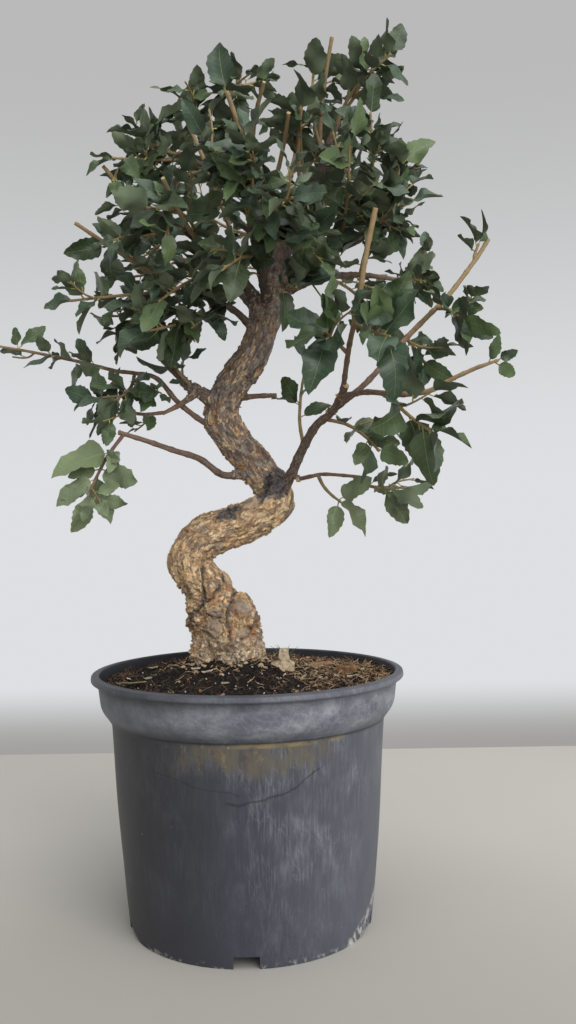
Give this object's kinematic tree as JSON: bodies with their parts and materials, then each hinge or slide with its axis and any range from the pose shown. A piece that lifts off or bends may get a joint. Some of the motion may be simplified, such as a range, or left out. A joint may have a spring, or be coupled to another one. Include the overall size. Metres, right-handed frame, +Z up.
{
  "type": "cork oak bonsai",
  "caption": "Cork oak bonsai with a corky S-bent trunk and small glossy toothed leaves, growing in soil in a round tapered nursery pot.",
  "frame": {"origin": "middle of the pot's foot ring on the surface it stands on, which is also under the middle of the crown's bounding box", "axes": "+X to the right and +Y to the back as the tree's front is seen, +Z up"},
  "size_m": [0.2941, 0.2564, 0.5347],
  "materials": {
    "pot": "matt dark grey-blue plastic, chalky and scuffed",
    "soil": "dark crumbly peat with bark fines and perlite grains",
    "bark": "rough furrowed cork bark, tan below and grey-brown above",
    "chip": "split raw bark and wood",
    "leaf": "leathery dark green leaf, glossy above and pale grey-green beneath"
  },
  "bodies": {
    "root": {"pot": "pot", "soil": "soil", "tree": "bark", "bark_chip_1": "chip", "bark_chip_2": "chip", "bark_chip_3": "chip", "spray_01": "leaf", "spray_02": "leaf", "spray_03": "leaf", "spray_04": "leaf", "spray_05": "leaf", "spray_06": "leaf", "spray_07": "leaf", "spray_08": "leaf", "spray_09": "leaf", "spray_10": "leaf", "spray_11": "leaf", "spray_12": "leaf", "spray_13": "leaf", "spray_14": "leaf", "spray_15": "leaf", "spray_16": "leaf", "spray_17": "leaf", "spray_18": "leaf", "spray_19": "leaf", "spray_20": "leaf", "spray_21": "leaf", "spray_22": "leaf", "spray_23": "leaf", "spray_24": "leaf", "spray_25": "leaf", "spray_26": "leaf", "spray_27": "leaf", "spray_28": "leaf", "spray_29": "leaf", "spray_30": "leaf", "spray_31": "leaf", "spray_32": "leaf", "spray_33": "leaf", "spray_34": "leaf", "spray_35": "leaf", "spray_36": "leaf", "spray_37": "leaf", "spray_38": "leaf", "spray_39": "leaf", "spray_40": "leaf", "spray_41": "leaf", "spray_42": "leaf", "spray_43": "leaf", "spray_44": "leaf", "spray_45": "leaf", "spray_46": "leaf", "spray_47": "leaf", "spray_48": "leaf", "spray_49": "leaf", "spray_50": "leaf", "spray_51": "leaf", "spray_52": "leaf", "spray_53": "leaf", "spray_54": "leaf"}
  },
  "joints": []
}
